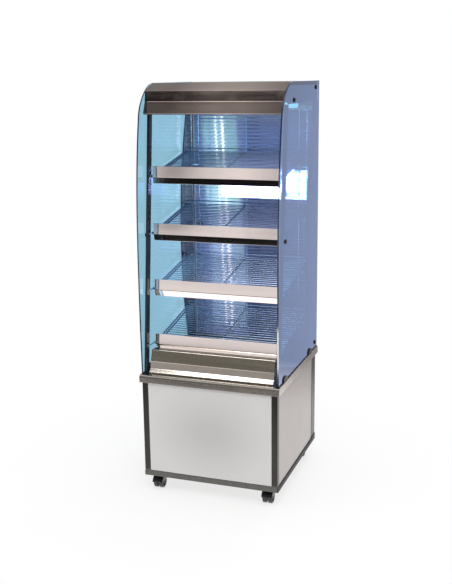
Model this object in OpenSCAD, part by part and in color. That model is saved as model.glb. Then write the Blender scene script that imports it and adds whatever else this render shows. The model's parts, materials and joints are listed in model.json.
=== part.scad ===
// Self-service bakery display case on a castored base cabinet.
// Origin: floor level, centre of the footprint. +Z up, front faces -Y, left is -X.

/* [Overall] */
// Worktop width, left to right
case_w = 600; // [590:1:640]
// Worktop depth, front to rear
case_d = 626; // [620:1:640]
// Height of the worktop's upper face above the floor
worktop_z = 510; // [505:1:540]
// Thickness of the worktop
worktop_t = 32; // [28:1:36]
// Height of the display section above the worktop
display_h = 1170; // [1165:1:1180]

/* [Base cabinet] */
// How far the cabinet stands in from the worktop edge at each side
base_inset = 9.5; // [8:0.5:14]
// Gap between the floor and the cabinet frame
castor_h = 65; // [65:1:70]
// Face width of the frame posts and rails
post_w = 25; // [22:1:28]
// Depth of the rear posts
rear_post_d = 60; // [50:1:64]

/* [Side glass] */
// Thickness of each glass side
glass_t = 6; // [5:0.5:8]
// Radius of the screw shanks through the glass
screw_r = 4; // [3:0.5:5]

/* [Shelves] */
// Rise of a shelf per unit of depth
shelf_slope = 0.185; // [0.15:0.005:0.2]
// Vertical distance from one shelf lip to the next
shelf_pitch = 231; // [228:1:232]
// Half length of the front lip
lip_half = 266; // [255:1:268]
// Wires across one shelf
wire_count = 20; // [14:1:22]
// Radius of the shelf wires
wire_r = 2; // [1.5:0.1:2.2]
// Radius of the shelf rails
rail_r = 3; // [2.5:0.1:3.2]

/* [Rear doors] */
// Thickness of a sliding door
door_t = 5; // [4:0.5:5.5]
// Width of a sliding door
door_w = 310; // [300:1:312]

/* [Castors] */
// Wheel radius
wheel_r = 25; // [24:0.5:25]
// Distance of the axle from the swivel axis, towards the front
trail = 15; // [12:1:16]

/* [Hidden] */
$fn = 48;
gap = 0.1;                            // between pieces that sit against each other
black = [0.06, 0.06, 0.06];
mid_grey = [0.7, 0.7, 0.7];
half_w = case_w / 2;
half_d = case_d / 2;
glass_x = 288;                        // inner face of the glass
glass_out = glass_x + glass_t;        // outer face of the glass
fit_x = glass_x - gap;                // outer edge of parts set between the glass sides
sheet_t = 1.6;                        // folded sheet

// ---------- helpers ----------
module box(x0, x1, y0, y1, z0, z1) translate([x0, y0, z0]) cube([x1 - x0, y1 - y0, z1 - z0]);
module rod_x(x0, x1, y, z, r) translate([x0, y, z]) rotate([0, 90, 0]) cylinder(r = r, h = x1 - x0);
module rod_y(y0, y1, x, z, r) translate([x, y1, z]) rotate([90, 0, 0]) cylinder(r = r, h = y1 - y0);
module rod_z(z0, z1, x, y, r) translate([x, y, z0]) cylinder(r = r, h = z1 - z0);
// Profile drawn in the Y-Z plane, drawn out along X
module along_x(x0, x1)
  translate([x0, 0, 0]) rotate([90, 0, 90]) linear_extrude(x1 - x0) children();
module both() {
  children();
  mirror([1, 0, 0]) children();
}
// Children drawn for the right side; s = -1 puts them on the left
module side(s) {
  if (s > 0) children();
  else mirror([1, 0, 0]) children();
}
// Children placed with z measured from the worktop's upper face
module on_worktop() translate([0, 0, worktop_z]) children();

// Folded sheet: a bent line of thickness t with mitred bends
function unit(v) = v / norm(v);
function left_of(v) = [-v[1], v[0]];
function shifted(p, i, d) = let (
  a = left_of(unit(i > 0 ? p[i] - p[i - 1] : p[1] - p[0])),
  b = i < len(p) - 1 ? left_of(unit(p[i + 1] - p[i])) : a) p[i] + (a + b) * d / (1 + a * b);
module fold(p, t) polygon(concat(
  [for (i = [0 : len(p) - 1]) shifted(p, i, t / 2)],
  [for (i = [len(p) - 1 : -1 : 0]) shifted(p, i, -t / 2)]));

// Rectangle with rounded corners
module rrect(x0, x1, y0, y1, r) {
  translate([x0 + r, y0]) square([x1 - x0 - 2 * r, y1 - y0]);
  translate([x0, y0 + r]) square([x1 - x0, y1 - y0 - 2 * r]);
  for (x = [x0 + r, x1 - r], y = [y0 + r, y1 - r]) translate([x, y]) circle(r = r, $fn = 32);
}

// ---------- base cabinet ----------
cab_x = half_w - base_inset;          // cabinet half width
cab_y = 304;                          // cabinet half depth
cab_top = worktop_z - worktop_t;
cab_in = cab_x - post_w;              // inner face of the posts
rear_post_y = cab_y - rear_post_d;    // front face of the rear posts
rail_top = castor_h + post_w;         // top of the lower rails
upper_rail = cab_top - 25;            // underside of the upper rails

module base_frame() color([0.36, 0.36, 0.35]) {
  // posts and side rails
  both() {
    box(cab_in, cab_x, -cab_y, -cab_y + post_w, castor_h, cab_top - gap);
    box(cab_in, cab_x, rear_post_y, cab_y, castor_h, cab_top - gap);
    box(cab_in, cab_x, -cab_y + post_w - 1, rear_post_y + 1, castor_h, rail_top);
    box(cab_in, cab_x - 7, -cab_y + post_w - 1, rear_post_y + 1, upper_rail, cab_top - gap);
  }
  // front and rear rails, let 1 mm into the posts
  rail_x = cab_in + 1;
  box(-rail_x, rail_x, -cab_y, -cab_y + post_w, castor_h, rail_top);
  box(-rail_x, rail_x, -cab_y + 8, -cab_y + post_w, upper_rail, cab_top - gap);
  box(-rail_x, rail_x, cab_y - post_w, cab_y, castor_h, rail_top);
  box(-rail_x, rail_x, rear_post_y + 10, cab_y - 20, upper_rail, cab_top - gap);
}
// Strip along the foot of each side, higher at the rear post
module base_side_trims() color(black) both() along_x(cab_x + gap, cab_x + 2.2) union() {
  translate([-cab_y + 2, castor_h]) square([2 * cab_y - 2, 20]);
  translate([rear_post_y - 2, castor_h]) square([rear_post_d + 2, 28]);
}
module front_panel() color([0.84, 0.84, 0.83])
  box(-cab_in + gap, cab_in - gap, -cab_y + 1, -cab_y + 7.9, rail_top + gap, cab_top - gap);
module side_panel(s) color([0.8, 0.77, 0.76]) side(s)
  box(cab_x - 6.9, cab_x - 1, -cab_y + post_w + gap, rear_post_y - gap,
    rail_top + gap, cab_top - gap);
module left_panel() side_panel(-1);
module right_panel() side_panel(1);
module base_floor() color(mid_grey)
  box(-cab_in + gap, cab_in - gap, -cab_y + post_w + gap, cab_y - post_w - gap,
    castor_h + 6, castor_h + 14);

// ---------- castor fixings ----------
castor_x = 241;                       // castor swivel axes
castor_y = 249;
castor_bolt = 18;                     // screw offset from the swivel axis
stud_r = 5;
stud_foot = castor_h - 13;

// Children drawn for the right rear corner, repeated at all four
module corners() both() {
  children();
  mirror([0, 1, 0]) children();
}
module at_castor_bolts() for (x = [-castor_bolt, castor_bolt], y = [-castor_bolt, castor_bolt])
  translate([x, y, 0]) children();

module castor_mounts() color([0.5, 0.5, 0.5]) corners() difference() {
  box(205, cab_in - gap, 218, cab_y - post_w - gap, castor_h, castor_h + 5.9);
  translate([castor_x, castor_y, 0]) at_castor_bolts() rod_z(castor_h - 1, castor_h + 9, 0, 0, 3.2);
}
// Fixed top of each castor: plate, four screws and the swivel stud
module castor_tops() color([0.75, 0.75, 0.76]) corners() translate([castor_x, castor_y, 0]) {
  translate([0, 0, castor_h - 3]) linear_extrude(3 - gap) rrect(-23.5, 23.5, -23.5, 23.5, 4);
  rod_z(stud_foot + gap, castor_h - 2, 0, 0, stud_r);
  at_castor_bolts() {
    rod_z(castor_h - 2, castor_h + 5.8, 0, 0, 3);
    rod_z(castor_h - 4.5, castor_h - 2.5, 0, 0, 4.5);
  }
}

// ---------- worktop ----------
nose_r = 14;                          // rounding of the upper front edge
rear_edge_r = 5;                      // rounding of the upper rear edge

module worktop() color([0.62, 0.6, 0.57]) along_x(-half_w, half_w) union() {
  translate([-half_d + nose_r, cab_top]) square([case_d - nose_r - rear_edge_r, worktop_t]);
  translate([-half_d, cab_top]) square([20, worktop_t - nose_r]);
  translate([-half_d + nose_r, worktop_z - nose_r]) circle(r = nose_r, $fn = 64);
  translate([half_d - 20, cab_top]) square([20, worktop_t - rear_edge_r]);
  translate([half_d - rear_edge_r, worktop_z - rear_edge_r]) circle(r = rear_edge_r, $fn = 32);
}

// ---------- glass sides ----------
// All heights from here to the sliding doors are measured from the worktop.
glass_foot = 3.1;
glass_y = -302;                       // foremost point of the glass
glass_waist = 300;                    // height of that point
glass_bow = 50;                       // how far the bow runs back above it
bow_top = display_h - 125;            // where the bow meets the top curve
// Screw places: y, z. The first two hold the canopy, then front post, rear plate
screws = [[-88, 1100], [254, 1143], [-206, 566], [277, 25]];

// Front edge of the glass: a long bow that tightens towards the top
function glass_front(z) = glass_y
  + glass_bow * pow(max(0, (z - glass_waist) / (bow_top - glass_waist)), 3)
  + 5 * pow(max(0, (glass_waist - z) / glass_waist), 2);
function bezier(a, b, c, d, t) =
  a * pow(1 - t, 3) + b * 3 * t * pow(1 - t, 2) + c * 3 * t * t * (1 - t) + d * pow(t, 3);
// Outline as y, z: rear edge, top curve, then down the front
glass_profile = concat(
  [[half_d, glass_foot], [half_d, display_h]],
  [for (i = [0 : 16]) bezier([-100, display_h], [-163, display_h],
    [-239.4, display_h - 62.5], [glass_y + glass_bow, bow_top], i / 16)],
  [for (i = [1 : 20]) let (z = glass_foot + (bow_top - glass_foot) * (1 - i / 20))
    [glass_front(z), z]]);

module screw_hole(i, x0, x1) rod_x(x0, x1, screws[i][0], screws[i][1], screw_r + 0.1);
module side_glass(s) color([0.55, 0.65, 0.85, 0.4]) side(s) on_worktop() difference() {
  along_x(glass_x, glass_out) polygon(glass_profile);
  for (i = [0 : 3]) screw_hole(i, glass_x - 1, glass_out + 1);
}
module side_glass_left() side_glass(-1);
module side_glass_right() side_glass(1);

post_x = 278;                         // inner face of the slanted front posts
post_front = -286;                    // front and rear faces of the posts at the foot
post_rear = -259;
lean = 0.104;                         // run of the posts towards the rear per unit of height
canopy_foot = 1086;

module glass_gaskets() color([0.05, 0.05, 0.06]) both() on_worktop() {
  front = glass_front(0) + 0.5;
  box(glass_x, glass_out + 1.2, front, half_d - 0.5, gap, 3);
  // corner blocks at the foot of the front posts
  box(post_x + 1, glass_x + 0.5, front, post_front - 0.2, gap, 3);
  box(post_x + 1, fit_x, front, post_front - 0.2, 2, 9);
}
// Disc segments against the outer foot of the glass and the worktop
module glass_clamps() color([0.05, 0.05, 0.05]) both() on_worktop() for (y = [-211, 185])
  translate([0, y, 0]) along_x(glass_out + gap, glass_out + 5) difference() {
    translate([0, -9.5]) circle(r = 32.5, $fn = 96);
    translate([-40, -50]) square([80, 53.2]);
  }
module glass_screws() color([0.06, 0.06, 0.07]) both() on_worktop() for (p = screws)
  translate([0, p[0], p[1]]) {
    rod_x(glass_out + gap, glass_out + 3.6, 0, 0, 9);
    rod_x(glass_out + 3, glass_out + 4.6, 0, 0, 7.5);
    rod_x(glass_x - 4.5, glass_out + 1, 0, 0, screw_r);
  }
module front_post(s) color([0.16, 0.16, 0.17]) side(s) on_worktop() difference() {
  top = canopy_foot - 1;
  along_x(post_x, fit_x) polygon([[post_front, gap], [post_rear, gap],
    [post_rear + lean * top, top], [post_front + lean * top, top]]);
  screw_hole(2, glass_x - 6, glass_x + 1);
}
module front_post_left() front_post(-1);
module front_post_right() front_post(1);
// Dark side plates at the rear, front edge bowed
module rear_side_plate(s) color([0.2, 0.22, 0.36]) side(s) on_worktop() difference() {
  bow_r = 1850;
  intersection() {
    box(glass_x - 5, fit_x, 100, half_d - 0.5, gap, canopy_foot - gap);
    translate([glass_x - 6, 145 + bow_r, 480]) rotate([0, 90, 0])
      cylinder(r = bow_r, h = 8, $fn = 360);
  }
  screw_hole(3, glass_x - 8, glass_x + 1);
}
module rear_side_plate_left() rear_side_plate(-1);
module rear_side_plate_right() rear_side_plate(1);

// ---------- canopy ----------
canopy_t = 2;                         // canopy sheet
canopy_floor = 1100;                  // underside of the canopy floor
canopy_top = 1168.5;
canopy_front = -184;                  // front of the floor
canopy_crest = -104;                  // front of the top sheet
canopy_rear = 307.5;
track_x = 282.8;                      // half length of the door tracks
track_top = 1068;                     // lower edge of the canopy's rear flange
switch_x = 205;
switch_z = 1134;
inlet_x = switch_x - 60;
switch_half = [15, 12];               // half width and height of each body
inlet_half = [14, 11];

// Box about the Y axis, from half width and height
module block(half, y0, y1) box(-half[0], half[0], y0, y1, -half[1], half[1]);

module canopy() color([0.6, 0.6, 0.6]) on_worktop() difference() {
  union() {
    // top, rear wall, rear flange, floor, front wall
    box(-fit_x, fit_x, canopy_crest, canopy_rear, canopy_top - canopy_t, canopy_top);
    box(-fit_x, fit_x, canopy_rear - canopy_t, canopy_rear, canopy_foot, 1168);
    box(-track_x, track_x, canopy_rear - canopy_t, canopy_rear, track_top, canopy_foot + 1);
    box(-fit_x, fit_x, canopy_front, 307, canopy_floor, canopy_floor + canopy_t);
    box(-fit_x, fit_x, canopy_front, canopy_front + canopy_t, canopy_floor, 1136);
    // end cheeks
    both() along_x(glass_x - 4, fit_x) polygon([
      [canopy_crest, canopy_top], [canopy_front, 1138], [-186, canopy_floor],
      [-140, canopy_foot], [canopy_rear, canopy_foot], [canopy_rear, canopy_top]]);
  }
  both() for (i = [0, 1]) screw_hole(i, glass_x - 8, glass_x + 1);
  translate([switch_x, 0, switch_z]) block(switch_half + [gap, gap], 300, 310);
  translate([inlet_x, 0, switch_z]) block(inlet_half + [gap, gap], 300, 310);
}

// Outlines as y, z
fascia_line = [[-106, 1169], [-112, 1169], [-190, 1139.5], [-196, 1098], [-216, 1052],
  [-204, 1049]];
fascia_end = [[-112, 1168], [-189, 1139], [-195, 1098], [-187.5, 1098], [-185.5, 1138.5],
  [-106, 1168.6]];
module header_fascia() color([0.55, 0.5, 0.48]) on_worktop() {
  along_x(-fit_x, fit_x) fold(fascia_line, sheet_t);
  both() along_x(glass_x - 3.8, fit_x) polygon(fascia_end);
}

led_half = 262;                       // half length of the light
led_y = [22, 88];
led_joint = canopy_foot;              // where the diffuser meets the batten
module led_batten() color([0.8, 0.8, 0.8]) on_worktop() difference() {
  box(-led_half, led_half, led_y[0], led_y[1], led_joint + gap, canopy_floor - gap);
  box(-led_half + 4, led_half - 4, led_y[0] + 4, led_y[1] - 4, led_joint - 6, 1097);
}
module led_diffuser() color([0.9, 0.96, 1]) on_worktop() difference() {
  along_x(-led_half, led_half) rrect(led_y[0], led_y[1], led_joint - 20, led_joint, 5);
  box(-led_half + 3, led_half - 3, led_y[0] + 3, led_y[1] - 3, led_joint - 17, led_joint + 4);
}
// Rounded block on the canopy floor with a low foot at each end
module led_driver() color([0.85, 0.85, 0.84]) on_worktop()
  translate([0, 0, canopy_floor + canopy_t + gap]) {
    linear_extrude(28) rrect(-110, 60, 180, 225, 3);
    for (x = [-114, 56]) box(x, x + 8, 190, 215, 0, 2.9);
  }

// Body through the canopy's rear wall with a flange outside, hollow from the rear
module rear_housing(body, cavity, body_y, cavity_y) difference() {
  union() {
    block(body, body_y, canopy_rear + 0.2);
    block([17.5, 14.5], canopy_rear + gap, canopy_rear + 1.9);
  }
  block(cavity, cavity_y, 311);
}
pivot_y = 302;                        // rocker pivot
pivot_r = 1.5;
module switch_housing() color([0.08, 0.08, 0.08]) on_worktop()
  translate([switch_x, 0, switch_z]) {
    rear_housing(switch_half, [10, 9], 290, 293);
    rod_x(-11, 11, pivot_y, 0, pivot_r);
  }
module light_switch() color([0.8, 0.12, 0.1]) on_worktop()
  translate([switch_x, pivot_y, switch_z]) rotate([-10, 0, 0]) difference() {
    along_x(-9.8, 9.8) polygon([[-3, -7], [7, -7], [5.4, 0], [7, 7], [-3, 7]]);
    rod_x(-12, 12, 0, 0, pivot_r + 0.05);
  }
module power_inlet() color(black) on_worktop() translate([inlet_x, 0, switch_z]) {
  rear_housing(inlet_half, [11.5, 8], 288, 292);
  // three pins, the middle one higher
  for (x = [-7, 0, 7]) box(x - 1, x + 1, 291, 305, x == 0 ? 0 : -5, x == 0 ? 4 : -1);
}

// ---------- front upstand, tray ----------
// Outline as y, z
riser_line = [[-218, 94], [-249, 94], [-267, 48], [-270, 20], [-284, 6.5], [-284, 0.4]];
module riser() color([0.42, 0.41, 0.36]) on_worktop()
  along_x(-266, 266) fold(riser_line, sheet_t);
module crumb_tray() color(mid_grey) on_worktop() difference() {
  wall = 1.5;
  translate([0, 0, gap]) linear_extrude(16) rrect(-225, 225, -250, 180, 8);
  translate([0, 0, gap + wall]) linear_extrude(20)
    rrect(-225 + wall, 225 - wall, -250 + wall, 180 - wall, 8 - wall);
}

// ---------- wire ladders and shelves ----------
ladder_y = 236;                       // plane of the wire ladders
ladder_x = [229, 263];                // uprights
ladder_r = 2.5;                       // ladder wires and shelf hooks
shelf_top = 844;                      // upper shelf lip
shelf_rear = 184;                     // rear end of the shelves

// Shelves n = 0 to 3 run from the top down, each further forward
function lip_y(n) = -188 - 6.7 * n;
function lip_z(n) = shelf_top - shelf_pitch * n;
function deck_y(n) = lip_y(n) + 1;
function deck_z(n) = lip_z(n) - 38;
function deck_run(n) = shelf_rear - deck_y(n);
function deck_len(n) = deck_run(n) / cos(atan(shelf_slope));
function rear_z(n) = deck_z(n) + deck_run(n) * shelf_slope;

module wire_ladder(s) color([0.75, 0.78, 0.8]) side(s) on_worktop() {
  for (x = ladder_x) rod_z(gap, canopy_floor - gap, x, ladder_y, ladder_r);
  for (n = [0 : 3], drop = [0, 58])
    rod_x(ladder_x[0], ladder_x[1], ladder_y, rear_z(n) - 5.2 - drop, ladder_r);
  rod_x(ladder_x[0], ladder_x[1], ladder_y, 1050, ladder_r);
}
module wire_ladder_left() wire_ladder(-1);
module wire_ladder_right() wire_ladder(1);

module shelf_deck(n) color([0.7, 0.72, 0.74]) on_worktop() {
  length = deck_len(n);
  end_inset = 3;                      // first and last wires from the deck ends
  wire_pitch = (length - 2 * end_inset) / (wire_count - 1);
  stop_y = length - end_inset;
  stop_half = 271;
  stop_z = 15;
  stop_r = 2.2;
  translate([0, deck_y(n), deck_z(n)]) rotate([atan(shelf_slope), 0, 0]) {
    for (i = [0 : wire_count - 1]) rod_x(-275.5, 275.5, end_inset + i * wire_pitch, 0, wire_r);
    for (x = [-272, -259, 0, 259, 272]) rod_y(0, length, x, -wire_r - rail_r + 0.6, rail_r);
    // raised stop along the rear edge
    for (x = [-stop_half, 0, stop_half]) rod_z(-2, stop_z, x, stop_y, stop_r);
    rod_x(-stop_half, stop_half, stop_y, stop_z, stop_r);
    for (x = [-stop_half, stop_half]) translate([x, stop_y, stop_z]) sphere(r = stop_r);
  }
  // arms that hook over the ladder rungs
  hook_x = 246;
  hook_y = ladder_y + 5.2;
  hook_z = rear_z(n);
  both() {
    rod_y(shelf_rear - 4, hook_y, hook_x, hook_z, ladder_r);
    rod_x(hook_x - 2, 276, shelf_rear - 4, hook_z - 1.2, ladder_r);
    translate([hook_x, hook_y, hook_z]) sphere(r = ladder_r);
    rod_z(hook_z - 12, hook_z, hook_x, hook_y, ladder_r);
  }
}
module shelf_deck_1() shelf_deck(0);
module shelf_deck_2() shelf_deck(1);
module shelf_deck_3() shelf_deck(2);
module shelf_deck_4() shelf_deck(3);
// Front lip: ticket face, then a face folded back under. Outline as y, z from the lip
lip_line = [[7, -0.8], [0.5, -0.8], [-2.5, -43.5], [4, -69.2], [15, -69.2]];
module shelf_lip(n) color([0.82, 0.78, 0.76]) on_worktop() translate([0, lip_y(n), lip_z(n)])
  along_x(-lip_half, lip_half) fold(lip_line, sheet_t);
module shelf_lip_1() shelf_lip(0);
module shelf_lip_2() shelf_lip(1);
module shelf_lip_3() shelf_lip(2);
module shelf_lip_4() shelf_lip(3);
// Angle brackets that carry the front of each shelf on the slanted posts
module shelf_brackets() color([0.3, 0.3, 0.31]) both() on_worktop() for (n = [0 : 3]) {
  top = deck_z(n) - 3.5;
  front = post_rear + lean * top - 14;
  rear = lip_y(n) + 50;
  box(post_x - 1.8, post_x - gap, front, rear, top - 2, top + 4);
  box(254, post_x - gap, lip_y(n) + 24, rear, top - 2, top);
}

// ---------- sliding rear doors ----------
inner_y = 295.5;                      // front face of the inner (right) door
outer_y = 304.5;                      // front face of the outer (left) door
door_edge = 280;                      // outer edge of each closed door
pull_x = 255;
pull_z = 530;
pull_r = 13;

// Track from z0 to z1, with a groove for each door from groove0 to groove1
module door_track(z0, z1, groove0, groove1) color([0.7, 0.7, 0.71]) on_worktop() difference() {
  box(-track_x, track_x, 291.5, half_d - 0.5, z0, z1);
  for (y = [inner_y, outer_y]) box(-290, 290, y - 0.6, y + door_t + 0.6, groove0, groove1);
}
module door_track_top() door_track(track_top - 20, track_top - gap, 1040, 1061);
module door_track_bottom() door_track(gap, 16, 4, 30);
module rear_door(s, y) color([0.45, 0.65, 0.8, 0.5]) side(s) on_worktop() difference() {
  box(door_edge - door_w, door_edge, y, y + door_t, 5, 1059);
  rod_y(y - 1, y + door_t + 1, pull_x, pull_z, pull_r + gap);
}
module rear_door_right() rear_door(1, inner_y);
module rear_door_left() rear_door(-1, outer_y);
// Cup through the door, flanged on both faces and open to the rear
module door_pull(s, y) color([0.1, 0.1, 0.1]) side(s) on_worktop()
  translate([pull_x, y, pull_z]) difference() {
    union() {
      rod_y(-1.2, -gap, 0, 0, pull_r + 4);
      rod_y(door_t + gap, door_t + 1.2, 0, 0, pull_r + 4);
      rod_y(-1, door_t + 1, 0, 0, pull_r);
    }
    rod_y(1, door_t + 2, 0, 0, pull_r - 1.5);
  }
module door_pull_right() door_pull(1, inner_y);
module door_pull_left() door_pull(-1, outer_y);

// ---------- cupboard door at the rear of the base ----------
// Heights are measured from the floor again.
hinge_x = -(cab_in + 2);
hinge_y = cab_y + 3.6;
hinge_heights = [castor_h + 85, cab_top - 65];
hinge_half = 20;                      // half height of a hinge
knuckle_r = 3.4;
hinge_pin_r = 1.5;

module base_door() color([0.84, 0.83, 0.82]) along_x(-cab_in + 1, cab_in - 1) polygon([
  [cab_y - 18, rail_top + 2], [cab_y - 1.5, rail_top + 2],
  [cab_y - 1.5, cab_top - 2], [cab_y - 18, cab_top - 2]]);
// Post leaf, lower knuckle and pin
module base_hinge_pins() color(mid_grey) for (z = hinge_heights) union() {
  low = z - hinge_half;
  box(hinge_x - 22, hinge_x - 3, cab_y + gap, cab_y + 1.6, low, z + hinge_half);
  box(hinge_x - 4, hinge_x, cab_y + gap, cab_y + 2.4, low, z - 0.2);
  rod_z(low, z - 0.2, hinge_x, hinge_y, knuckle_r);
  rod_z(z - 1, z + 18.5, hinge_x, hinge_y, hinge_pin_r);
}
// Door leaf and upper knuckle
module base_door_hinges() color(mid_grey) for (z = hinge_heights) difference() {
  high = z + hinge_half;
  union() {
    box(hinge_x + 2.2, hinge_x + 22, cab_y - 1.4, cab_y + 0.6, z - hinge_half, high);
    box(hinge_x + 0.8, hinge_x + 4.5, cab_y + 0.15, cab_y + 2.6, z + 0.2, high);
    rod_z(z + 0.2, high, hinge_x, hinge_y, knuckle_r);
  }
  rod_z(z - 1, z + 18.9, hinge_x, hinge_y, hinge_pin_r + 0.05);
}
module base_door_handle() color(mid_grey) {
  bar_x = 236;
  bar_y = cab_y + 4.5;
  ends = [282, 398];
  for (z = [ends[0] + 8, ends[1] - 8]) rod_y(cab_y - 1.4, bar_y, bar_x, z, 3.5);
  rod_z(ends[0], ends[1], bar_x, bar_y, 4);
  for (z = ends) translate([bar_x, bar_y, z]) sphere(r = 4);
}

// ---------- castors: twin wheels on a swivelling yoke ----------
axle_r = 4;
bore_r = axle_r + 0.05;
pedal_y = -trail - 31;                // brake pedal axis from the swivel axis
pedal_z = 40;
pedal_pin_r = 2;

module at_castor(x, y) translate([x * castor_x, y * castor_y, 0]) children();
module at_axle() translate([0, -trail, wheel_r]) children();
module hood_bore() rod_x(-21.5, 21.5, 0, 0, 26.8);

module castor_yoke(x, y, brake) color([0.06, 0.06, 0.07]) at_castor(x, y) {
  difference() {
    union() {
      // hood over the wheels
      at_axle() intersection() {
        difference() {
          rod_x(-23, 23, 0, 0, 30.5);
          hood_bore();
        }
        box(-30, 30, -40, 40, 9, 40);
      }
      // web between the wheels
      at_axle() intersection() {
        rod_x(-2.5, 2.5, 0, 0, 28);
        box(-3, 3, -12, 40, -7, 40);
      }
      // swivel barrel
      difference() {
        rod_z(44, castor_h - 3.2, 0, 0, 12);
        at_axle() hood_bore();
      }
    }
    rod_z(stud_foot - gap, castor_h, 0, 0, stud_r + 0.05);
  }
  rod_x(-22.6, 22.6, -trail, wheel_r, axle_r);
  // ears and pin that carry the brake pedal
  if (brake) {
    for (i = [-1, 1]) difference() {
      translate([i * 12, 0, 0]) along_x(-2, 2) union() {
        translate([pedal_y, pedal_z]) circle(r = 4.6);
        translate([pedal_y, pedal_z - 4.6]) square([8, 9.2]);
      }
      at_axle() rod_x(-15, 15, 0, 0, 28);
    }
    rod_x(-13, 13, pedal_y, pedal_z, pedal_pin_r);
  }
}
module castor_yoke_fl() castor_yoke(-1, -1, true);
module castor_yoke_fr() castor_yoke(1, -1, true);
module castor_yoke_rl() castor_yoke(-1, 1, false);
module castor_yoke_rr() castor_yoke(1, 1, false);
// Two wheels, each with a ring recess in its outer face
module castor_wheels(x, y) color([0.12, 0.11, 0.11]) at_castor(x, y) at_axle() for (s = [-1, 1])
  translate([s * 3.2, 0, 0]) rotate([0, s * 90, 0]) rotate_extrude($fn = 64) difference() {
    rrect(bore_r, wheel_r, 0, 17.2, 2.5);
    translate([9, 14.2]) square([9, 5]);
  }
module castor_wheels_fl() castor_wheels(-1, -1);
module castor_wheels_fr() castor_wheels(1, -1);
module castor_wheels_rl() castor_wheels(-1, 1);
module castor_wheels_rr() castor_wheels(1, 1);
module brake_pedal(x) color([0.08, 0.08, 0.08]) at_castor(x, -1)
  translate([0, pedal_y, pedal_z]) difference() {
    union() {
      rod_x(-9.7, 9.7, 0, 0, 3.8);
      box(-9.7, 9.7, -8, 0, -1.5, 2.5);
      box(-15.5, 15.5, -15, -6, -1.5, 2.5);
    }
    rod_x(-12, 12, 0, 0, pedal_pin_r + 0.05);
  }
module brake_pedal_fl() brake_pedal(-1);
module brake_pedal_fr() brake_pedal(1);

base_frame();
base_side_trims();
front_panel();
left_panel();
right_panel();
base_floor();
castor_mounts();
castor_tops();
worktop();
side_glass_left();
side_glass_right();
glass_gaskets();
glass_clamps();
glass_screws();
front_post_left();
front_post_right();
rear_side_plate_left();
rear_side_plate_right();
canopy();
header_fascia();
riser();
crumb_tray();
led_batten();
led_diffuser();
led_driver();
switch_housing();
power_inlet();
wire_ladder_left();
wire_ladder_right();
shelf_deck_1();
shelf_deck_2();
shelf_deck_3();
shelf_deck_4();
shelf_lip_1();
shelf_lip_2();
shelf_lip_3();
shelf_lip_4();
shelf_brackets();
door_track_top();
door_track_bottom();
base_hinge_pins();
rear_door_left();
rear_door_right();
door_pull_left();
door_pull_right();
base_door();
base_door_handle();
base_door_hinges();
light_switch();
castor_yoke_fl();
castor_yoke_fr();
castor_yoke_rl();
castor_yoke_rr();
castor_wheels_fl();
castor_wheels_fr();
castor_wheels_rl();
castor_wheels_rr();
brake_pedal_fl();
brake_pedal_fr();
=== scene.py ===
"""A glass-sided display case on castors, with a canopy, shelves and ribbed sliding rear doors.

The floor is z = 0 and up is +Z. The front faces -Y, the right side is +X, and the case is
centred on x = 0. Shapes are written in millimetres; lights, camera and textures in metres.
"""
import json
import math
import random

import bmesh
import bpy
from mathutils import Matrix, Vector

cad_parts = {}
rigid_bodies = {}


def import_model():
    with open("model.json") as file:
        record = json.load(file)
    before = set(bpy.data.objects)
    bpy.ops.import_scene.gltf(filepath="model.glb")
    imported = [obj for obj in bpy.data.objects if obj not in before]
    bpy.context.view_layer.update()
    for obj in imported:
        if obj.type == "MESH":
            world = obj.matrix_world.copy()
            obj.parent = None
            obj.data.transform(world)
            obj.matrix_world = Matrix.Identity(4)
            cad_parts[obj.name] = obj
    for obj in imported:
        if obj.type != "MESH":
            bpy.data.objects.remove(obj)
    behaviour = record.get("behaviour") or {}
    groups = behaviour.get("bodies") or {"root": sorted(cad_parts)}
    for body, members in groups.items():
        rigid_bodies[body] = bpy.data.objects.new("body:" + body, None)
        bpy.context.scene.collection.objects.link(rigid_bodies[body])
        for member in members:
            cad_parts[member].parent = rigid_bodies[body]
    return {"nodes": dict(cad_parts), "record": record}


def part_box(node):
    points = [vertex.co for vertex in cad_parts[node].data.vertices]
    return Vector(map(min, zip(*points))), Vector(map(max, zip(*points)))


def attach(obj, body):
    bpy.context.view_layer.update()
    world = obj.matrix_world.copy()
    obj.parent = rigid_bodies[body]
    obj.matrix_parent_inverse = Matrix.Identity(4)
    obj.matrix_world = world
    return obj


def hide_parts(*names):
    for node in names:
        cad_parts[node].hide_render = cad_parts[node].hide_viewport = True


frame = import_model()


random.seed(7)
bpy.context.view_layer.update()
NODES = frame["nodes"]
SLOT = {s["node"]: s["material_slot"] for s in frame["record"]["subparts"]}
BODY_OF = {node: body for body, nodes in frame["record"]["behaviour"]["bodies"].items()
           for node in nodes}
SCENE = bpy.context.scene
MM = 0.001

# Rear doors, mm
RIB_PITCH = 15.5
RIB_STEPS = 8            # mesh rows in one rib
RIB_DEPTH = 0.9
FACE_INSET = 0.5         # rib crests below the faces of the CAD door
STRIP_WIDTH = 5          # plain strip down each upright edge
PULL_X, PULL_Z = 255, 1040
PULL_RADIUS = 13.1
PULL_CUT = 8             # reach of the cutter each way along y

# Twin castor wheels, mm: radii, and offsets from the castor's middle along the axle
TREAD_RADIUS = 25.0
BEAD_RADIUS = 19.2
TYRE_INNER, TYRE_OUTER = 3.4, 20.2
INNER_ROUND, OUTER_ROUND = 3.0, 3.2
# (radius, offset) round the hub section
HUB_SECTION = [(4.1, 3.4), (19.1, 3.4), (19.1, 19.4), (17.8, 20.0), (16.9, 19.4),
               (15.6, 16.2), (9.4, 15.6), (8.4, 18.6), (7.4, 19.6), (4.1, 19.6)]
HUB_RIBS = 6
HUB_RIB_BOX = (-1.1, 1.1, 8.8, 16.6, 15.2, 18.4)   # x, y, z limits before it is turned

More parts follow.
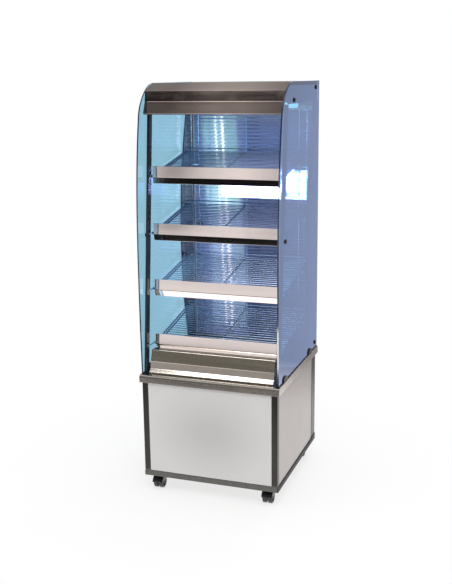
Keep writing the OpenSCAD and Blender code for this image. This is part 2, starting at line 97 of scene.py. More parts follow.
# Rolled edge of the header, mm
HEM_HALF_LENGTH, HEM_RADIUS, HEM_SIDES = 287.6, 1.7, 10
HEM_Y, HEM_Z = -216.2, 1562.4

# Folded sheets: bend width and cut-edge rounding, mm
SHEETS = {"header_fascia": (1.3, 0.6), "riser": (2.4, 0.3)}
SHEETS.update({f"shelf_lip_{i}": (1.5, 0.3) for i in (1, 2, 3, 4)})

# Edge rounding of the CAD nodes, by width in mm; the rest stay sharp
BEVEL = {node: width for width, nodes in {
    0.2: "base_hinge_pins base_door_hinges",
    0.3: "canopy crumb_tray shelf_brackets",
    0.4: "castor_mounts led_diffuser door_track_top door_track_bottom door_pull_left "
         "door_pull_right",
    0.5: "base_side_trims castor_tops glass_gaskets rear_side_plate_left "
         "rear_side_plate_right led_batten power_inlet castor_yoke_fl castor_yoke_fr "
         "castor_yoke_rl castor_yoke_rr",
    0.6: "base_floor side_glass_left side_glass_right glass_screws light_switch",
    0.7: "switch_housing brake_pedal_fl brake_pedal_fr",
    0.8: "front_panel left_panel right_panel",
    0.9: "glass_clamps base_door",
    1.0: "worktop led_driver",
    1.2: "base_frame",
    1.8: "front_post_left front_post_right",
}.items() for node in nodes.split()}

# Nodes whose finish differs from their slot
OWN_FINISH = {
    "wire_ladder_left": "ladder_chrome", "wire_ladder_right": "ladder_chrome",
    # the canopy takes a darker steel: painted shade
    "canopy": "roof_steel", "shelf_brackets": "bracket_paint",
    "side_glass_left": "glass_far", "front_panel": "panel_front",
    # the lower decks take a brighter copy of the wire steel: painted light
    "shelf_deck_3": "wire_bright", "shelf_deck_4": "wire_bright",
}


# ------------------------------------------------------------------ node trees
class Nodes:
    """Writes the node tree of a material or world."""

    def __init__(self, owner, output):
        owner.use_nodes = True
        self.tree = owner.node_tree
        self.tree.nodes.clear()
        self.out = self.add(output)
        self.texture = None

    def add(self, kind, inputs=None, **settings):
        node = self.tree.nodes.new(kind)
        for key, value in settings.items():
            setattr(node, key, value)
        for key, value in (inputs or {}).items():
            self.put(node.inputs[key], value)
        return node

    def put(self, socket, value):
        """Links value if it is a socket, otherwise stores it."""
        if hasattr(value, "is_output"):
            self.tree.links.new(value, socket)
        elif isinstance(value, tuple) and len(value) == 3 and socket.type == "RGBA":
            socket.default_value = (*value, 1)
        else:
            socket.default_value = value

    def coord(self, stretch=(1, 1, 1), shift=(0, 0, 0)):
        if self.texture is None:
            self.texture = self.add("ShaderNodeTexCoord")
        return self.add("ShaderNodeMapping", {
            "Vector": self.texture.outputs["Object"], "Scale": stretch, "Location": shift,
        }).outputs[0]

    def generated(self):
        return self.add("ShaderNodeTexCoord").outputs["Generated"]

    def split(self, vector):
        return self.add("ShaderNodeSeparateXYZ", {"Vector": vector}).outputs

    def noise(self, scale, detail, rough, **placing):
        return self.add("ShaderNodeTexNoise", {
            "Vector": self.coord(**placing), "Scale": scale, "Detail": detail,
            "Roughness": rough}).outputs["Fac"]

    def remap(self, value, source, target=(0, 1)):
        return self.add("ShaderNodeMapRange", {
            "Value": value, "From Min": source[0], "From Max": source[1],
            "To Min": target[0], "To Max": target[1]}).outputs[0]

    def math(self, operation, a, b=0.0, clamp=False):
        return self.add("ShaderNodeMath", {0: a, 1: b}, operation=operation,
                        use_clamp=clamp).outputs[0]

    def mix(self, share, a, b, blend="MIX"):
        return self.add("ShaderNodeMix", {0: share, 6: a, 7: b}, data_type="RGBA",
                        blend_type=blend).outputs[2]

    def grade(self, pattern, colour, low, high):
        """The colour scaled from low to high as the pattern rises."""
        return self.mix(self.remap(pattern, (0.3, 0.7)), scaled(colour, low),
                        scaled(colour, high))

    def ramp(self, factor, stops):
        """A colour ramp through (position, level, optional tint) stops."""
        node = self.add("ShaderNodeValToRGB", {0: factor})
        elements = node.color_ramp.elements
        elements.remove(elements[0])
        for i, (position, level, *tint) in enumerate(stops):
            if i == 0:
                element = elements[0]
                element.position = position
            else:
                element = elements.new(position)
            element.color = (*(level * c for c in (tint[0] if tint else (1, 1, 1))), 1)
        return node.outputs[0]

    def bump(self, height, strength, distance):
        return self.add("ShaderNodeBump", {"Height": height, "Strength": strength,
                                           "Distance": distance}).outputs[0]

    def principled(self, **inputs):
        return self.add("ShaderNodeBsdfPrincipled", {
            key.replace("_", " "): value for key, value in inputs.items()}).outputs[0]

    def blend(self, share, a, b):
        return self.add("ShaderNodeMixShader", {0: share, 1: a, 2: b}).outputs[0]

    def finish(self, shader):
        self.put(self.out.inputs["Surface"], shader)


# ------------------------------------------------------------------ materials
MATERIALS = {}


def material(name):
    MATERIALS[name] = bpy.data.materials.new(name)
    return Nodes(MATERIALS[name], "ShaderNodeOutputMaterial")


def srgb(*levels):
    """sRGB 0-255 to linear."""
    return tuple(v / 255 / 12.92 if v / 255 <= 0.04045 else ((v / 255 + 0.055) / 1.055) ** 2.4
                 for v in levels)


def scaled(colour, factor):
    return tuple(min(1.0, c * factor) for c in colour)


def steel(name, colour, rough, brush="x", spread=0.10, bump=0.10, tone=0.10, streak=55.0,
          mark=0.08, low=None, ends=None):
    """Brushed sheet: fine grain along one axis, broad soft streaks, faint handling marks.

    spread and mark vary the roughness and tone the colour; streak is the streaks' fineness.
    low = (height, colour) recolours what lies under a height, painted light on the bottom rail
    of the frame; ends darkens both ends along x, painted shade on the header.
    """
    def brushed(along, across):
        return tuple(along if axis == brush else across for axis in "xyz")

    m = material(name)
    dark, light = 1 - tone, 1 + tone * 0.6
    fine = m.noise(scale=1, detail=3, rough=0.6, stretch=brushed(5, 1100))
    broad = m.noise(scale=1, detail=2, rough=0.5, stretch=brushed(1.3, streak))
    marks = m.noise(scale=9, detail=4, rough=0.6, shift=(3.1, 1.7, 0.4))
    grain = m.math("ADD", m.math("MULTIPLY", fine, 0.5), m.math("MULTIPLY", broad, 0.5))
    base = m.grade(broad, colour, dark, light)
    base = m.mix(m.remap(marks, (0.55, 0.75), (0, 0.35)), base, scaled(colour, 0.82))
    # Painted shade: the colour darkens from its brightest place towards both ends along x.
    if ends:
        brightest_x = 0.62
        away = m.math("ABSOLUTE", m.math("SUBTRACT", m.split(m.generated())[0], brightest_x))
        base = m.mix(m.remap(away, (0.10, 0.42), (1, 0)), scaled(colour, ends), base)
    # Painted light: faces under the height that do not face sideways take the low colour,
    # lighter than the rest on the frame.
    if low:
        height, painted_low_colour = low
        normal = m.add("ShaderNodeNewGeometry").outputs["True Normal"]
        not_sideways = m.math("LESS_THAN", m.math("ABSOLUTE", m.split(normal)[0]), 0.6)
        under = m.remap(m.split(m.coord())[2], (height - 0.004, height + 0.004), (1, 0))
        base = m.mix(m.math("MULTIPLY", not_sideways, under), base,
                     m.grade(broad, painted_low_colour, dark, light))
    grain_rough = m.remap(grain, (0.3, 0.7), (rough - spread / 2, rough + spread / 2))
    mark_rough = m.remap(marks, (0.5, 0.8), (0, mark))
    m.finish(m.principled(Base_Color=base, Metallic=1.0,
                          Roughness=m.math("ADD", grain_rough, mark_rough, clamp=True),
                          Normal=m.bump(fine, bump, distance=0.00025)))


def paint(name, colour, rough, grain=0.06, scale=220.0, coat=0.0, tone=0.05, spec=0.5,
          shaded_middle=None):
    """Painted or moulded surface: orange peel, slight mottling and scuffs.

    grain and scale are the strength and fineness of the peel. A (middle, rim) pair scales a
    panel's colour in its middle and at its rim: painted shade in the middle, painted light at
    the rim.
    """
    m = material(name)
    peel = m.noise(scale=scale, detail=2, rough=0.5)
    mottle = m.noise(scale=4.5, detail=4, rough=0.6, shift=(1.3, 0.2, 2.2))
    scuff = m.noise(scale=30, detail=5, rough=0.65, shift=(0.4, 5.2, 1.1))
    # Painted shade and light: with a (middle, rim) pair the panel is darker in its middle and
    # lighter at its rim.
    middle, rim = shaded_middle or (1, 1)
    base = m.grade(mottle, colour, rim * (1 - tone), rim * (1 + tone))
    if shaded_middle:
        across = m.split(m.generated())
        dx, dz = (m.math("SUBTRACT", across[i], 0.5) for i in (0, 2))
        far = m.math("SQRT", m.math("ADD", m.math("MULTIPLY", dx, dx),
                                    m.math("MULTIPLY", dz, dz)))
        base = m.mix(m.remap(far, (0.10, 0.52)), scaled(colour, middle), base)
    base = m.mix(m.remap(scuff, (0.62, 0.78), (0, 0.25)), base, scaled(colour, 0.8))
    mottle_rough = m.remap(mottle, (0.2, 0.8), (rough - 0.04, rough + 0.06))
    scuff_rough = m.remap(scuff, (0.6, 0.8), (0, 0.14))
    m.finish(m.principled(Base_Color=base, Metallic=0.0, Coat_Weight=coat,
                          Roughness=m.math("ADD", mottle_rough, scuff_rough, clamp=True),
                          Normal=m.bump(peel, grain, distance=0.0003),
                          Specular_IOR_Level=spec))


def glass(name, tint, edge, fresnel, coat, rough=(0.015, 0.06), axis=0, film=None,
          film_share=0.0, rib_pitch=None, rib_foot=None):
    """Clear sheet facing along axis: tinted, under a sharp reflection, with dark edges.

    film is the colour of a milky layer, thicker on the ribs of a ribbed sheet, whose tint is
    also darkened in the grooves as painted shade.
    """
    m = material(name)
    geometry = m.add("ShaderNodeNewGeometry").outputs
    facing = m.math("ABSOLUTE", m.split(geometry["True Normal"])[axis])
    is_face = m.math("GREATER_THAN", facing, 0.6)
    smear = m.noise(scale=6, detail=4, rough=0.6, stretch=(1, 0.6, 0.35))
    tone = m.grade(smear, tint, 1, 1.08)
    if film:
        rise = m.math("SUBTRACT", m.split(m.coord())[2], rib_foot)
        wave = m.math("SINE", m.math("MULTIPLY", rise, math.pi / rib_pitch))
        crest = m.math("ABSOLUTE", wave)
        # Painted shade: the tint is darkened in the grooves between the ribs.
        tone = m.mix(m.remap(crest, (0.1, 0.75)), scaled(tint, 0.72), tone)
    clear = m.add("ShaderNodeBsdfTransparent", {"Color": tone}).outputs[0]
    if film:
        share = m.remap(crest, (0.1, 0.85), (film_share * 0.45, film_share * 1.25))
        clear = m.blend(share, clear, m.principled(Base_Color=film, Roughness=0.25))
    gloss = m.add("ShaderNodeBsdfGlossy", {
        "Color": coat, "Roughness": m.remap(smear, (0.4, 0.8), rough)}).outputs[0]
    reflect = m.math("MULTIPLY", m.add("ShaderNodeFresnel", {"IOR": 1.5}).outputs[0], fresnel)
    entering = m.math("SUBTRACT", 1.0, geometry["Backfacing"])
    face = m.blend(m.math("MULTIPLY", reflect, entering, clamp=True), clear, gloss)
    rim = m.principled(Base_Color=edge, Roughness=0.12, Metallic=0.0, Specular_IOR_Level=0.7)
    m.finish(m.blend(is_face, rim, face))


def emitter(name, glow, strength, body):
    m = material(name)
    pattern = m.noise(scale=40, detail=2, rough=0.5)
    m.finish(m.principled(Base_Color=body, Emission_Color=glow, Emission_Strength=strength,
                          Roughness=m.remap(pattern, (0.3, 0.7), (0.3, 0.42))))


PANEL = dict(grain=0.03, scale=160, coat=0.15)
SIDE_GLASS = dict(tint=(0.57, 0.78, 0.855), edge=(0.012, 0.02, 0.05), fresnel=2.2,
                  coat=(0.62, 0.70, 1.0))
WIRE = dict(spread=0.06, bump=0.02, tone=0.05)

# The frame's bottom rail is painted lighter than its posts: painted light on the rail, painted
# shade on the posts.
steel("frame_metal", srgb(62, 61, 59), rough=0.34, brush="z", spread=0.14, bump=0.12,
      tone=0.14, low=(0.092, srgb(90, 89, 87)))
paint("trim_black", (0.010, 0.010, 0.011), rough=0.5, grain=0.1, scale=500, spec=0.2)
paint("panel_white", srgb(201, 201, 200), rough=0.32, tone=0.02, **PANEL)
# The front panel is painted darker in its middle and lighter at its rim: painted shade and
# painted light.
paint("panel_front", srgb(201, 200, 199), rough=0.32, tone=0.02, shaded_middle=(0.87, 1.10), **PANEL)
# The side panels take the panel white darkened: painted shade.
paint("panel_side", srgb(146, 138, 135), rough=0.34, tone=0.025, **PANEL)
steel("stainless", srgb(205, 202, 198), rough=0.28)
steel("worktop_steel", srgb(167, 160, 154), rough=0.25, spread=0.08, bump=0.05, tone=0.12,
      streak=60)
glass("glass_blue", **SIDE_GLASS)
glass("glass_far", rough=(0.09, 0.13), **SIDE_GLASS)
glass("door_clear", tint=(0.46, 0.55, 0.74), edge=(0.10, 0.14, 0.30), fresnel=1.6,
      coat=(1.0, 0.98, 0.94), rough=(0.03, 0.05), axis=1, film=(0.10, 0.115, 0.25),
      film_share=0.66, rib_pitch=RIB_PITCH * MM, rib_foot=0.515)
paint("strip_clear", (0.09, 0.14, 0.27), rough=0.22, grain=0.02, scale=200, coat=0.3)
paint("rubber_black", (0.008, 0.008, 0.009), rough=0.62, grain=0.12, scale=700)
paint("post_dark", (0.010, 0.010, 0.012), rough=0.10, grain=0.01, scale=200, coat=0.3,
      tone=0.02)
paint("plate_dark", (0.020, 0.027, 0.085), rough=0.22, grain=0.02, scale=180, coat=0.4)
# The header is painted darker towards both ends: painted shade.
steel("header_steel", srgb(209, 194, 188), rough=0.12, streak=30, ends=0.45)
steel("lip_steel", srgb(234, 225, 222), rough=0.065, spread=0.03, bump=0.05, tone=0.06,
      streak=30, mark=0.02)
steel("riser_steel", srgb(166, 160, 152), rough=0.15, streak=30)
steel("wire_chrome", srgb(120, 132, 165), rough=0.20, **WIRE)
# A darker copy of the stainless for the canopy: painted shade for its dark roof edge.
steel("roof_steel", srgb(112, 106, 103), rough=0.2, spread=0.08, bump=0.08, streak=30)
paint("bracket_paint", srgb(118, 168, 192), rough=0.35, grain=0.03, scale=300)
# A brighter copy of wire_chrome for the lower decks: painted light.
steel("wire_bright", srgb(176, 196, 226), rough=0.22, **WIRE)
steel("ladder_chrome", srgb(188, 205, 228), rough=0.24, brush="z", **WIRE)
steel("zinc", srgb(190, 192, 194), rough=0.36, brush="y", spread=0.16, tone=0.14)
steel("light_body", srgb(215, 216, 218), rough=0.38)
emitter("diffuser", glow=(0.45, 0.85, 0.95), strength=1.6, body=(0.9, 0.93, 0.95))
paint("plastic_black", (0.012, 0.012, 0.013), rough=0.36, scale=600)
paint("plastic_grey", srgb(200, 200, 198), rough=0.45, scale=400)
paint("plastic_red", (0.5, 0.02, 0.015), rough=0.28, grain=0.02, scale=400, coat=0.3)
paint("tyre", srgb(48, 42, 42), rough=0.5, grain=0.12, scale=900)
paint("hub", (0.02, 0.02, 0.021), rough=0.4, grain=0.05, scale=500)


# ------------------------------------------------------------------ mesh helpers
def shade_smooth(mesh):
    mesh.polygons.foreach_set("use_smooth", [True] * len(mesh.polygons))


def add_object(name, bm, finish, smooth=40.0):
    mesh = bpy.data.meshes.new(name)
    bm.normal_update()
    bm.to_mesh(mesh)
    bm.free()
    mesh.materials.append(MATERIALS[finish])
    shade_smooth(mesh)
    mesh.set_sharp_from_angle(angle=math.radians(smooth))
    o = bpy.data.objects.new(name, mesh)
    SCENE.collection.objects.link(o)
    return o


def piece(name, bm, body, slot, finish=None, smooth=40.0, replaces=None):
    """A visible part riding on a body; its finish is its slot's unless given."""
    o = add_object(name, bm, finish or slot, smooth)
    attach(o, body)
    if replaces:
        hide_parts(replaces)
    return o


def add_block(bm, x0, x1, y0, y1, z0, z1, bevel):
    verts = [bm.verts.new((x * MM, y * MM, z * MM))
             for x in (x0, x1) for y in (y0, y1) for z in (z0, z1)]
    sides = [(0, 1, 3, 2), (4, 6, 7, 5), (0, 4, 5, 1), (2, 3, 7, 6), (0, 2, 6, 4), (1, 5, 7, 3)]
    faces = [bm.faces.new([verts[i] for i in side]) for side in sides]
    edges = list({e for face in faces for e in face.edges})
    bmesh.ops.bevel(bm, geom=edges, offset=bevel * MM, segments=2, profile=0.5,
                    affect="EDGES", clamp_overlap=True)


def join_rings(bm, a, b):
    for j in range(len(a)):
        k = (j + 1) % len(a)
        bm.faces.new((a[j], a[k], b[k], b[j]))


def add_lathe(bm, section, centre, axis, steps):
    """Revolves a closed (radius, offset along axis) section round the x or y axis."""
    rings = []
    for i in range(steps):
        angle = 2 * math.pi * i / steps
        c, s = math.cos(angle), math.sin(angle)
        rings.append([
            bm.verts.new((Vector((h, r * c, r * s) if axis == "x" else (r * c, h, r * s))
                          + Vector(centre)) * MM)
            for r, h in section])
    for i in range(steps):
        join_rings(bm, rings[i], rings[(i + 1) % steps])


def recalc_normals(bm):
    bmesh.ops.recalc_face_normals(bm, faces=bm.faces)


# ------------------------------------------------------------------ CAD nodes
def refine(node, width):
    """Keeps the CAD node, rounds its sharp edges and evens its shading."""
    o = NODES[node]
    for layer in ("custom_normal", "sharp_edge", "sharp_face"):
        if layer in o.data.attributes:
            o.data.attributes.remove(o.data.attributes[layer])
    shade_smooth(o.data)
    weld = o.modifiers.new("weld", "WELD")
    weld.merge_threshold = 2e-6
    flat = o.modifiers.new("flat", "DECIMATE")
    flat.decimate_type = "DISSOLVE"
    flat.angle_limit = math.radians(0.6)
    if width:
        edge = o.modifiers.new("edge", "BEVEL")
        edge.width = width * MM
        edge.segments = 2
        edge.limit_method = "ANGLE"
        edge.angle_limit = math.radians(28)
        edge.use_clamp_overlap = True
    o.modifiers.new("shade", "WEIGHTED_NORMAL").keep_sharp = False


def folded(node, fold_width, edge_width):
    """The CAD sheet with a bend radius at each fold and softened cut edges."""
    square = 80   # degrees; sharper edges are cut edges, gentler ones along x are folds
    bm = bmesh.new()
    bm.from_mesh(NODES[node].data)
    bmesh.ops.remove_doubles(bm, verts=bm.verts, dist=2e-6)
    bmesh.ops.dissolve_limit(bm, angle_limit=math.radians(0.6), verts=bm.verts, edges=bm.edges)

    def angle(edge):
        return math.degrees(edge.calc_face_angle(0))

    def soften(edges, width, segments):
        bmesh.ops.bevel(bm, geom=edges, offset=width * MM, segments=segments, profile=0.5,
                        affect="EDGES", clamp_overlap=True)

    soften([e for e in bm.edges if 6 < angle(e) < square
            and abs(e.verts[1].co.x - e.verts[0].co.x) > 0.3], fold_width, 4)
    soften([e for e in bm.edges if angle(e) > square], edge_width, 2)
    o = piece(node + "_sheet", bm, BODY_OF[node], SLOT[node], smooth=60, replaces=node)
    o.modifiers.new("shade", "WEIGHTED_NORMAL").keep_sharp = True


for node, o in NODES.items():
    o.data.materials.clear()
    finish = OWN_FINISH.get(node, SLOT[node])
    o.data.materials.append(MATERIALS.get(finish, MATERIALS["plastic_black"]))

for node in NODES:
    if node in SHEETS:
        folded(node, *SHEETS[node])
    else:
        refine(node, BEVEL.get(node, 0))


# ------------------------------------------------------------------ ribbed sliding doors
def ribbed_pane(x0, x1, y0, y1, z0, z1):
    """A sheet with rounded ribs running across both faces."""
    bm = bmesh.new()
    rows = int((z1 - z0) / RIB_PITCH * RIB_STEPS)
    rings = []
    for k in range(rows + 1):
        z = z0 + (z1 - z0) * k / rows
        sunk = FACE_INSET + RIB_DEPTH * (1 - abs(math.sin(math.pi * (z - z0) / RIB_PITCH)))
        front, back = y0 + sunk, y1 - sunk
        rings.append([bm.verts.new((x * MM, y * MM, z * MM))
                      for x, y in ((x0, front), (x1, front), (x1, back), (x0, back))])
    for a, b in zip(rings, rings[1:]):
        join_rings(bm, a, b)
    bm.faces.new(list(reversed(rings[0])))
    bm.faces.new(rings[-1])
    recalc_normals(bm)
    return bm


def cut_pull_hole(door, x, y):
    """Cuts the round opening for the finger pull and bakes it into the mesh."""
    bm = bmesh.new()
    add_lathe(bm, [(0.01, -PULL_CUT), (PULL_RADIUS, -PULL_CUT), (PULL_RADIUS, PULL_CUT),
                   (0.01, PULL_CUT)], (x, y, PULL_Z), "y", 40)
    recalc_normals(bm)
    cutter = add_object("cutter", bm, "hub")
    hole = door.modifiers.new("hole", "BOOLEAN")
    hole.object = cutter
    hole.operation = "DIFFERENCE"
    hole.solver = "EXACT"
    bpy.context.view_layer.update()
    evaluated = door.evaluated_get(bpy.context.evaluated_depsgraph_get())
    mesh = bpy.data.meshes.new_from_object(evaluated)
    door.modifiers.clear()
    mesh.set_sharp_from_angle(angle=math.radians(40))
    door.data = mesh
    bpy.data.objects.remove(cutter)


def ribbed_door(side, pull_x):
    node = "rear_door_" + side
    low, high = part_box(node)
    x0, x1, y0, y1, z0, z1 = [v * 1000 for v in (low.x, high.x, low.y, high.y, low.z, high.z)]
    inner0, inner1 = x0 + STRIP_WIDTH, x1 - STRIP_WIDTH
    door = piece("ribbed_door_" + side, ribbed_pane(inner0, inner1, y0, y1, z0, z1), node,
                 "door_clear", smooth=60, replaces=node)
    cut_pull_hole(door, pull_x, (y0 + y1) / 2)
    bm = bmesh.new()
    for a, b in ((x0, inner0), (inner1, x1)):
        add_block(bm, a, b, y0, y1, z0, z1, bevel=0.8)
    piece("door_edge_strips_" + side, bm, node, "door_clear", finish="strip_clear")


ribbed_door("left", -PULL_X)
ribbed_door("right", PULL_X)


# ------------------------------------------------------------------ castor wheels
def arc(x, y, radius, start, end, steps):
    angles = [math.radians(start + (end - start) * i / steps) for i in range(steps + 1)]
    return [(x + radius * math.cos(a), y + radius * math.sin(a)) for a in angles]


TYRE_SECTION = [
    (BEAD_RADIUS, TYRE_INNER),
    *arc(TREAD_RADIUS - INNER_ROUND, TYRE_INNER + INNER_ROUND, INNER_ROUND, -90, 0, 4),
    (TREAD_RADIUS, 17.2),
    *arc(TREAD_RADIUS - OUTER_ROUND, TYRE_OUTER - OUTER_ROUND, OUTER_ROUND, 0, 90, 5),
    (BEAD_RADIUS, TYRE_OUTER),
]


def add_hub_rib(hub, middle, side, angle):
    """One spoke-like rib in the recess of a hub."""
    rib = bmesh.new()
    add_block(rib, *HUB_RIB_BOX, bevel=0.4)
    rib.transform(Matrix.Translation(middle * MM) @ Matrix.Scale(side, 4, (1, 0, 0))
                  @ Matrix.Rotation(angle, 4, "X") @ Matrix.Rotation(math.pi / 2, 4, "Y"))
    mesh = bpy.data.meshes.new("rib")
    rib.to_mesh(mesh)
    rib.free()
    hub.from_mesh(mesh)
    bpy.data.meshes.remove(mesh)


def castor(corner):
    """A pair of wheels, mirrored about the castor's middle."""
    node, body = "castor_wheels_" + corner, "wheels_" + corner
    low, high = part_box(node)
    middle = (low + high) / 2 * 1000
    tyres, hubs = bmesh.new(), bmesh.new()
    for side in (-1, 1):
        add_lathe(tyres, [(r, side * h) for r, h in TYRE_SECTION], middle, "x", 64)
        add_lathe(hubs, [(r, side * h) for r, h in HUB_SECTION], middle, "x", 48)
        for k in range(HUB_RIBS):
            add_hub_rib(hubs, middle, side, 2 * math.pi * k / HUB_RIBS)
    recalc_normals(tyres)
    recalc_normals(hubs)
    piece("castor_tyres_" + corner, tyres, body, "castor_wheel", finish="tyre", replaces=node)
    piece("castor_hubs_" + corner, hubs, body, "castor_wheel", finish="hub")


for corner in ("fl", "fr", "rl", "rr"):
    castor(corner)


# ------------------------------------------------------------------ header hem
def header_hem():
    """A round bead along the header, closed at both ends."""
    bm = bmesh.new()
    angles = [2 * math.pi * k / HEM_SIDES for k in range(HEM_SIDES)]
    left, right = ([bm.verts.new(Vector((x, HEM_Y - HEM_RADIUS * math.cos(a),
                                         HEM_Z + HEM_RADIUS * math.sin(a))) * MM)
                    for a in angles] for x in (-HEM_HALF_LENGTH, HEM_HALF_LENGTH))
    join_rings(bm, left, right)
    bm.faces.new(list(reversed(left)))
    bm.faces.new(right)
    piece("header_hem", bm, "case", "header_steel")


header_hem()


# ------------------------------------------------------------------ world
WARM = (1.0, 0.955, 0.94)
OLIVE = (1.0, 0.96, 0.84)
BLUE = (0.85, 0.92, 1.1)

# (position, level, tint); the first two run from straight down at 0 to straight up at 1
FRONT_SKY = [
    (0.0, 0.8, WARM), (0.48, 0.8, WARM), (0.535, 0.85, WARM), (0.555, 0.05), (0.58, 0.008),
    (0.635, 0.02), (0.665, 0.28, OLIVE), (0.71, 0.30, OLIVE), (0.76, 0.20, OLIVE),
    (0.81, 0.19, WARM), (0.87, 0.35, WARM), (0.93, 1.1), (1.0, 1.3)]
BACK_SKY = [
    (0.0, 0.8), (0.47, 0.46, WARM), (0.502, 0.42, WARM), (0.515, 0.10), (0.55, 0.15),
    (0.60, 0.7, BLUE), (0.64, 1.25), (0.70, 1.1), (0.79, 0.45, WARM), (0.9, 0.5, WARM),
    (1.0, 1.2)]
# Upright bands of light and shade low in the front sky, from left to right
FRONT_BANDS = [
    (0.0, 0.95), (0.13, 0.80), (0.20, 0.34), (0.27, 0.46), (0.40, 0.86), (0.60, 1.12),
    (0.78, 1.08), (0.92, 0.72), (1.0, 0.75)]


def build_world():
    """A sky seen only in reflections and light; the camera sees plain white."""
    world = bpy.data.worlds.new("studio")
    SCENE.world = world
    w = Nodes(world, "ShaderNodeOutputWorld")
    x, y, z = w.split(w.generated())
    height = w.remap(z, (-1, 1))
    bands = w.ramp(w.remap(x, (-0.42, -0.27)), FRONT_BANDS)
    above = w.remap(height, (0.535, 0.56), (1, 0))
    bands = w.mix(above, (1, 1, 1), bands)
    # the bands fade out with height, as the share above falls to 0 they take over
    front = w.mix(1.0, w.ramp(height, FRONT_SKY), bands, blend="MULTIPLY")
    sky = w.mix(w.remap(y, (-0.12, 0.12)), front, w.ramp(height, BACK_SKY))
    camera_ray = w.add("ShaderNodeLightPath").outputs["Is Camera Ray"]
    seen = w.mix(camera_ray, sky, (1, 1, 1))
    w.finish(w.add("ShaderNodeBackground", {"Color": seen}).outputs[0])


build_world()


# ------------------------------------------------------------------ floor
FLOOR_HALF = 30
# (position, level) across the reflected floor, by the ratio x / y
FLOOR_BANDS = [(0.0, 0.80), (0.12, 0.84), (0.30, 1.08), (0.50, 1.10), (0.72, 0.82),
               (0.86, 0.72), (1.0, 0.95)]


def floor_material():
    """Pale near the case, fading to white; reflections see a card with a dark patch."""
    m = material("floor")
    position = m.add("ShaderNodeNewGeometry").outputs["Position"]
    distance = m.add("ShaderNodeVectorMath", {0: position}, operation="LENGTH").outputs["Value"]
    x, y, _ = m.split(position)

    mottle = m.noise(scale=3, detail=3, rough=0.5)
    pale = m.mix(mottle, (0.86, 0.86, 0.86), (0.9, 0.9, 0.9))
    diffuse = m.add("ShaderNodeBsdfDiffuse", {"Color": pale}).outputs[0]
    white = m.add("ShaderNodeEmission", {"Color": (1, 1, 1), "Strength": 1.0}).outputs[0]
    plain = m.blend(m.remap(distance, (0.35, 1.2), (0.72, 1)), diffuse, white)

    # dark patch in front of the case, with a slanting left edge
    patch = m.math("MULTIPLY", m.remap(y, (-1.42, -1.22), (1, 0)), m.remap(y, (-3.9, -3.3)))
    slant = m.math("ADD", x, m.math("MULTIPLY", y, -0.35))
    patch = m.math("MULTIPLY", patch, m.remap(slant, (-0.66, -0.50)))
    bands = m.ramp(m.remap(m.math("DIVIDE", x, y), (0.28, 0.46)), FLOOR_BANDS)
    bands = m.mix(m.remap(y, (-24, -12), (1, 0)), (1, 1, 1), bands)
    lit = m.mix(m.remap(y, (-3.0, -1.3)), (0.88, 0.85, 0.845), (1.5, 1.47, 1.46))
    tone = m.mix(1.0, lit, bands, blend="MULTIPLY")
    tone = m.mix(patch, tone, (0.006, 0.006, 0.006))
    tone = m.mix(m.remap(y, (0.9, 1.6)), tone, (0.47, 0.44, 0.43))
    card = m.add("ShaderNodeEmission", {"Color": tone, "Strength": 1.0}).outputs[0]
    glossy_ray = m.add("ShaderNodeLightPath").outputs["Is Glossy Ray"]
    m.finish(m.blend(glossy_ray, plain, card))


def build_floor():
    floor_material()
    bm = bmesh.new()
    bm.faces.new([bm.verts.new((x * FLOOR_HALF, y * FLOOR_HALF, 0))
                  for x, y in ((-1, -1), (1, -1), (1, 1), (-1, 1))])
    add_object("floor", bm, "floor")


build_floor()


# ------------------------------------------------------------------ lights
def area(name, place, aim, width, power, colour, height=None, glossy=True):
    """An area light; a square one unless a height is given."""
    data = bpy.data.lights.new(name, "AREA")
    data.energy = power
    data.color = colour
    data.size = width
    if height:
        data.shape = "RECTANGLE"
        data.size_y = height
    lamp = bpy.data.objects.new(name, data)
    lamp.location = place
    lamp.rotation_euler = (Vector(aim) - Vector(place)).to_track_quat("-Z", "Y").to_euler()
    lamp.visible_glossy = glossy
    SCENE.collection.objects.link(lamp)
    return lamp


def targets(name, prefixes):
    """A collection of the meshes whose names start with any of the prefixes."""
    group = bpy.data.collections.new(name)
    for o in bpy.data.objects:
        if o.type == "MESH" and o.name.startswith(tuple(prefixes.split())):
            group.objects.link(o)
    return group


def light_only(lamp, group):
    lamp.light_linking.receiver_collection = group
    lamp.visible_camera = False


# name, place, aim, width, power, colour
ROOM_LIGHTS = (
    ("key_top", (0.9, -2.4, 3.3), (0, 0, 0.9), 1.8, 52, (1, 0.98, 0.96)),
    ("fill_left", (-2.6, -2.0, 1.7), (0, 0, 0.8), 1.6, 24, (0.95, 0.97, 1)),
    ("fill_right", (3.0, -0.6, 1.6), (0, 0, 0.7), 1.6, 17, (1, 0.96, 0.95)),
    ("back_light", (0.4, 2.6, 2.4), (0, 0.2, 0.9), 1.6, 30, (0.85, 0.93, 1)),
)
for row in ROOM_LIGHTS:
    area(*row, glossy=False)
canopy_lamp = area("canopy_lamp", (0, 0.055, 1.57), (0, 0.055, 0), width=0.06, height=0.5,
                   power=3, colour=(0.55, 0.82, 1.0), glossy=False)
canopy_lamp.rotation_euler = (0, 0, math.pi / 2)   # its length along x

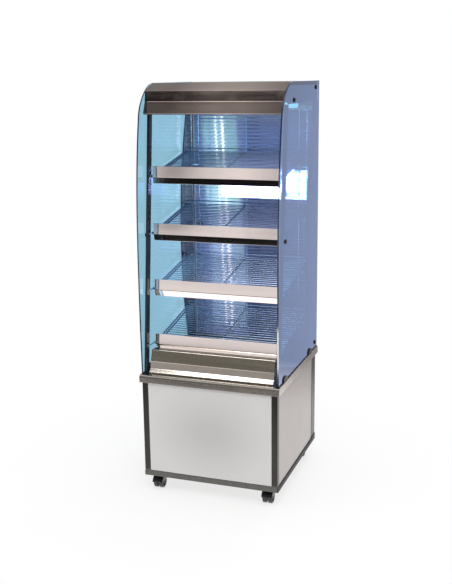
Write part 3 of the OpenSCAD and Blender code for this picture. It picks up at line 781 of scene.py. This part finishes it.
# Leaning upright lamps whose glare stands in the ribbed rear doors:
# x and z of the top end, x and z of the foot, width, power, colour
GLARE_Y = 0.2
GLARE = (
    (-0.2165, 1.52, -0.1690, 0.55, 0.008, 0.26, (1, 0.96, 0.94)),
    (-0.1840, 1.52, -0.1390, 0.55, 0.012, 0.38, (1, 0.95, 0.94)),
    (-0.2000, 1.52, -0.1800, 1.10, 0.17, 0.62, (0.42, 0.92, 0.62)),
    (-0.1780, 1.22, -0.1540, 0.55, 0.17, 0.85, (0.60, 0.88, 0.96)),
)
doors = targets("lit_doors", "ribbed_door door_edge")
for i, (top_x, top_z, foot_x, foot_z, width, power, colour) in enumerate(GLARE):
    middle = Vector(((top_x + foot_x) / 2, GLARE_Y, (top_z + foot_z) / 2))
    lean = Vector((top_x - foot_x, 0, top_z - foot_z))
    lamp = area("glare_%d" % i, middle, middle + Vector((0, 0.1, 0)), width, power, colour,
                height=math.hypot(lean.z, lean.x))
    up = lean.normalized()
    lamp.rotation_euler = Matrix(((up.z, up.x, 0), (0, 0, -1), (-up.x, up.z, 0))).to_euler()
    light_only(lamp, doors)

# a narrow beam on the middle of the doors
back_patch = area("back_patch", (0.065, 0.262, 1.237), (0.065, 0.3, 1.237), width=0.43,
                  height=0.126, power=24, colour=(1, 1, 1), glossy=False)
back_patch.data.spread = math.radians(10)
light_only(back_patch, doors)

# name, prefixes of the parts it lights, place, aim, width, height, power, colour
PART_LIGHTS = (
    ("over_front", "riser", (-0.72, -1.55, 2.7), (0, -0.26, 0.6), 1.0, None, 34,
     (1, 0.99, 0.97)),
    ("tray_bounce", "shelf_lip_4", (0, -0.246, 0.565), (0, -0.2, 0.575), 0.54, 0.07, 0.11,
     (1, 0.94, 0.92)),
    ("edge_glint", "side_glass_right", (-0.045, -1.22, 0.33), (0.29, -0.3, 0.62), 0.3, 0.25,
     3.5, (1, 1, 1)),
    ("riser_line", "riser", (-0.7, -2.1, 0.86), (0, -0.27, 0.558), 1.5, 0.25, 2.5,
     (1, 0.98, 0.95)),
    ("under_lip", "riser", (-0.51, -1.67, 1.95), (0, -0.3, 0.58), 1.0, None, 3.0,
     (1, 0.97, 0.96)),
    ("fold_line", "header", (-0.62, -1.93, 2.5), (0, -0.26, 1.6), 1.5, 0.5, 4,
     (1, 0.97, 0.95)),
    ("edge_light", "front_post base_frame", (2.5, -1.35, 1.2), (0, -0.27, 1.0), 0.12, 2.0,
     30, (1, 1, 1)),
    ("deck_light", "shelf_deck", (-0.2, -1.8, 2.5), (0, -0.05, 1.1), 1.2, None, 28,
     (1, 0.93, 0.92)),
    ("side_card", "side_glass_right", (0.8, 1.35, 0.85), (0.29, 0, 0.95), 1.3, 1.6, 1.5,
     (0.42, 0.72, 1)),
    ("ladder_light", "wire_ladder", (-1.2, -1.7, 1.35), (-0.25, 0.236, 1.1), 0.6, 1.6, 30,
     (0.78, 0.92, 1)),
)
for name, prefixes, place, aim, width, height, power, colour in PART_LIGHTS:
    lamp = area(name, place, aim, width, power, colour, height)
    light_only(lamp, targets(name + "_targets", prefixes))


# ------------------------------------------------------------------ camera and render
CAMERA_PLACE = (1.24815, -3.58649, 1.70866)
YAW, PITCH, ROLL = 0.3415, 0.2324, 0.0128   # radians: to the left, downwards, about the view


def build_camera():
    forward = Vector((-math.sin(YAW) * math.cos(PITCH), math.cos(YAW) * math.cos(PITCH),
                      -math.sin(PITCH)))
    level_right = Vector((math.cos(YAW), math.sin(YAW), 0))
    level_down = forward.cross(level_right)
    right = level_right * math.cos(ROLL) + level_down * math.sin(ROLL)
    down = -level_right * math.sin(ROLL) + level_down * math.cos(ROLL)
    data = bpy.data.cameras.new("camera")
    data.sensor_width = 36
    data.lens = 56.628493
    data.clip_end = 60
    camera = bpy.data.objects.new("camera", data)
    turn = Matrix((right, -down, -forward)).transposed().to_4x4()
    camera.matrix_world = Matrix.Translation(CAMERA_PLACE) @ turn
    SCENE.collection.objects.link(camera)
    SCENE.camera = camera


build_camera()
SCENE.view_settings.view_transform = "Standard"
SCENE.cycles.transparent_max_bounces = 24
SCENE.cycles.max_bounces = 10
SCENE.cycles.sample_clamp_indirect = 6
